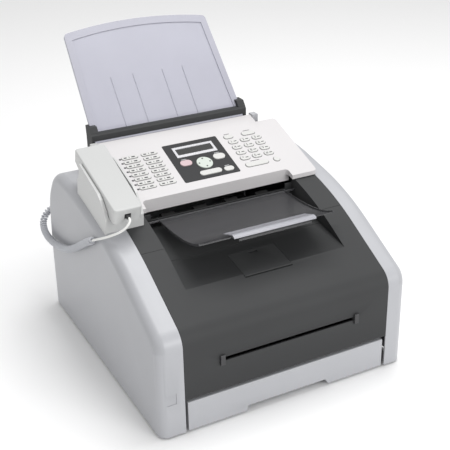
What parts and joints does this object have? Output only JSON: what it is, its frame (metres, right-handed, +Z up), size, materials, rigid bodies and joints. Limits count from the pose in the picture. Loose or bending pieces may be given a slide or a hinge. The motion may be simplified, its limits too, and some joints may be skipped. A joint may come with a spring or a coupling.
{
  "type": "laser fax machine",
  "caption": "Laser fax machine with sloping key console, corded handset on the left, standing document tray, clear catch tray over a dark front door, and a paper drawer.",
  "frame": {"origin": "centre of the footprint box at table level, cord left out", "axes": "+X to the right seen from the front, +Y to the back, +Z up; the front faces -Y"},
  "size_m": [0.4276, 0.5042, 0.4669],
  "materials": {
    "light_cover": "fine satin silver-grey",
    "dark_cover": "satin charcoal",
    "handset": "fine satin silver-grey",
    "fascia": "satin dark grey",
    "smoked_clear": "smoked clear plastic",
    "frosted_clear": "milky clear plastic",
    "tray_frame": "translucent grey-lilac",
    "screen": "dark display window",
    "silver_trim": "silver paint",
    "steel": "zinc-plated sheet",
    "rubber": "black rubber",
    "black_plastic": "moulded black",
    "stop_key": "pale red key",
    "key_white": "off-white key",
    "cord_jacket": "soft light grey sheath",
    "clear_plug": "modular plug"
  },
  "bodies": {
    "chassis": {"base_pan": "steel", "rubber_feet": "rubber", "mid_deck": "steel", "side_frames": "steel", "side_cover_left": "light_cover", "side_cover_right": "light_cover", "rear_cover": "light_cover", "rear_sockets": "black_plastic", "upper_cover": "dark_cover", "toner_cartridge": "black_plastic", "scanner_bed": "black_plastic", "handset_cradle": "light_cover", "document_holder": "dark_cover", "cord_plug_base": "clear_plug", "cord_coil": "cord_jacket"},
    "door": {"front_door": "dark_cover"},
    "stop": {"paper_stop": "dark_cover"},
    "feed_left": {"feed_guide_left": "black_plastic"},
    "feed_right": {"feed_guide_right": "black_plastic"},
    "catch_tray": {"originals_tray": "smoked_clear", "originals_flap": "smoked_clear"},
    "drawer": {"drawer_front": "light_cover", "drawer_tray": "dark_cover"},
    "plate": {"lift_plate": "steel"},
    "width_left": {"paper_guide_left": "black_plastic"},
    "width_right": {"paper_guide_right": "black_plastic"},
    "console": {"console_housing": "light_cover", "display_fascia": "fascia", "screen_frame": "silver_trim", "screen_glass": "screen"},
    "handset": {"handset_shell": "handset", "cord_plug_handset": "clear_plug", "cord_tail": "cord_jacket"},
    "hook": {"hook_switch": "black_plastic"},
    "doc_tray": {"document_tray": "tray_frame", "document_panel": "frosted_clear"},
    "roller": {"exit_roller": "rubber"},
    "mains_switch": {"power_switch": "black_plastic"},
    "letters": {"letter_keys": "key_white"},
    "key_0": {"key_0": "key_white"},
    "key_1": {"key_1": "key_white"},
    "key_2": {"key_2": "key_white"},
    "key_3": {"key_3": "key_white"},
    "key_4": {"key_4": "key_white"},
    "key_5": {"key_5": "key_white"},
    "key_6": {"key_6": "key_white"},
    "key_7": {"key_7": "key_white"},
    "key_8": {"key_8": "key_white"},
    "key_9": {"key_9": "key_white"},
    "key_copy": {"key_copy": "key_white"},
    "key_hash": {"key_hash": "key_white"},
    "key_menu": {"key_menu": "key_white"},
    "key_mute": {"key_mute": "key_white"},
    "key_navigate": {"key_navigate": "key_white"},
    "key_phone": {"key_phone": "key_white"},
    "key_redial": {"key_redial": "key_white"},
    "key_rocker": {"key_rocker": "key_white"},
    "key_star": {"key_star": "key_white"},
    "key_start": {"key_start": "key_white"},
    "key_stop": {"key_stop": "stop_key"}
  },
  "joints": [
    {"name": "door_hinge", "type": "hinge", "parent": "chassis", "child": "door", "pos_m": [0, -0.2431, 0.0576], "axis": [1, 0, 0], "range_deg": [0, 75]},
    {"name": "paper_stop_hinge", "type": "hinge", "parent": "door", "child": "stop", "pos_m": [0.001, -0.1883, 0.1885], "axis": [1, 0, 0], "range_deg": [0, 40]},
    {"name": "feed_guide_right_slide", "type": "slide", "parent": "door", "child": "feed_right", "axis": [-1, 0, 0], "range_m": [0, 0.05]},
    {"name": "feed_guide_left_slide", "type": "slide", "parent": "door", "child": "feed_left", "axis": [1, 0, 0], "range_m": [0, 0.05]},
    {"name": "catch_tray_hinge", "type": "hinge", "parent": "chassis", "child": "catch_tray", "pos_m": [0.0025, -0.0406, 0.2305], "axis": [-1, 0, 0], "range_deg": [0, 20]},
    {"name": "drawer_slide", "type": "slide", "parent": "chassis", "child": "drawer", "axis": [0, -1, 0], "range_m": [0, 0.25]},
    {"name": "lift_plate_hinge", "type": "hinge", "parent": "drawer", "child": "plate", "pos_m": [0.002, -0.0481, 0.0112], "axis": [-1, 0, 0], "range_deg": [0, 8]},
    {"name": "width_guide_right_slide", "type": "slide", "parent": "drawer", "child": "width_right", "axis": [-1, 0, 0], "range_m": [0, 0.03]},
    {"name": "width_guide_left_slide", "type": "slide", "parent": "drawer", "child": "width_left", "axis": [1, 0, 0], "range_m": [0, 0.03]},
    {"name": "console_hinge", "type": "hinge", "parent": "chassis", "child": "console", "pos_m": [0, 0.1094, 0.308], "axis": [-1, 0, 0], "range_deg": [0, 30]},
    {"name": "handset_lift", "type": "slide", "parent": "chassis", "child": "handset", "axis": [0, -0.2689, 0.9632], "range_m": [0, 0.06]},
    {"name": "hook_press", "type": "slide", "parent": "chassis", "child": "hook", "axis": [0, 0.2689, -0.9632], "range_m": [0, 0.0025], "stiffness_N_per_m": 60},
    {"name": "document_tray_pull", "type": "slide", "parent": "chassis", "child": "doc_tray", "axis": [0, 0.6561, 0.7547], "range_m": [0, 0.03]},
    {"name": "exit_roller_spin", "type": "hinge", "parent": "chassis", "child": "roller", "pos_m": [0.003, -0.0166, 0.222], "axis": [1, 0, 0], "continuous": true},
    {"name": "mains_switch_rock", "type": "hinge", "parent": "chassis", "child": "mains_switch", "pos_m": [0.15, 0.1969, 0.04], "axis": [1, 0, 0], "range_deg": [0, 8]},
    {"name": "letter_keys_press", "type": "slide", "parent": "console", "child": "letters", "axis": [0, 0.3338, -0.9426], "range_m": [0, 0.0008], "stiffness_N_per_m": 800},
    {"name": "key_0_press", "type": "slide", "parent": "console", "child": "key_0", "axis": [0, 0.3338, -0.9426], "range_m": [0, 0.0008], "stiffness_N_per_m": 300},
    {"name": "key_1_press", "type": "slide", "parent": "console", "child": "key_1", "axis": [0, 0.3338, -0.9426], "range_m": [0, 0.0008], "stiffness_N_per_m": 300},
    {"name": "key_2_press", "type": "slide", "parent": "console", "child": "key_2", "axis": [0, 0.3338, -0.9426], "range_m": [0, 0.0008], "stiffness_N_per_m": 300},
    {"name": "key_3_press", "type": "slide", "parent": "console", "child": "key_3", "axis": [0, 0.3338, -0.9426], "range_m": [0, 0.0008], "stiffness_N_per_m": 300},
    {"name": "key_4_press", "type": "slide", "parent": "console", "child": "key_4", "axis": [0, 0.3338, -0.9426], "range_m": [0, 0.0008], "stiffness_N_per_m": 300},
    {"name": "key_5_press", "type": "slide", "parent": "console", "child": "key_5", "axis": [0, 0.3338, -0.9426], "range_m": [0, 0.0008], "stiffness_N_per_m": 300},
    {"name": "key_6_press", "type": "slide", "parent": "console", "child": "key_6", "axis": [0, 0.3338, -0.9426], "range_m": [0, 0.0008], "stiffness_N_per_m": 300},
    {"name": "key_7_press", "type": "slide", "parent": "console", "child": "key_7", "axis": [0, 0.3338, -0.9426], "range_m": [0, 0.0008], "stiffness_N_per_m": 300},
    {"name": "key_8_press", "type": "slide", "parent": "console", "child": "key_8", "axis": [0, 0.3338, -0.9426], "range_m": [0, 0.0008], "stiffness_N_per_m": 300},
    {"name": "key_9_press", "type": "slide", "parent": "console", "child": "key_9", "axis": [0, 0.3338, -0.9426], "range_m": [0, 0.0008], "stiffness_N_per_m": 300},
    {"name": "key_copy_press", "type": "slide", "parent": "console", "child": "key_copy", "axis": [0, 0.3338, -0.9426], "range_m": [0, 0.0008], "stiffness_N_per_m": 300},
    {"name": "key_hash_press", "type": "slide", "parent": "console", "child": "key_hash", "axis": [0, 0.3338, -0.9426], "range_m": [0, 0.0008], "stiffness_N_per_m": 300},
    {"name": "key_menu_press", "type": "slide", "parent": "console", "child": "key_menu", "axis": [0, 0.3338, -0.9426], "range_m": [0, 0.0008], "stiffness_N_per_m": 300},
    {"name": "key_mute_press", "type": "slide", "parent": "console", "child": "key_mute", "axis": [0, 0.3338, -0.9426], "range_m": [0, 0.0008], "stiffness_N_per_m": 300},
    {"name": "key_navigate_press", "type": "slide", "parent": "console", "child": "key_navigate", "axis": [0, 0.3338, -0.9426], "range_m": [0, 0.0008], "stiffness_N_per_m": 300},
    {"name": "key_phone_press", "type": "slide", "parent": "console", "child": "key_phone", "axis": [0, 0.3338, -0.9426], "range_m": [0, 0.0008], "stiffness_N_per_m": 300},
    {"name": "key_redial_press", "type": "slide", "parent": "console", "child": "key_redial", "axis": [0, 0.3338, -0.9426], "range_m": [0, 0.0008], "stiffness_N_per_m": 300},
    {"name": "key_rocker_press", "type": "slide", "parent": "console", "child": "key_rocker", "axis": [0, 0.3338, -0.9426], "range_m": [0, 0.0008], "stiffness_N_per_m": 300},
    {"name": "key_star_press", "type": "slide", "parent": "console", "child": "key_star", "axis": [0, 0.3338, -0.9426], "range_m": [0, 0.0008], "stiffness_N_per_m": 300},
    {"name": "key_start_press", "type": "slide", "parent": "console", "child": "key_start", "axis": [0, 0.3338, -0.9426], "range_m": [0, 0.0008], "stiffness_N_per_m": 300},
    {"name": "key_stop_press", "type": "slide", "parent": "console", "child": "key_stop", "axis": [0, 0.3338, -0.9426], "range_m": [0, 0.0008], "stiffness_N_per_m": 300}
  ],
  "couplings": [
    {"joint": "feed_guide_left_slide", "follows": "feed_guide_right_slide", "ratio": 1},
    {"joint": "width_guide_left_slide", "follows": "width_guide_right_slide", "ratio": 1}
  ]
}
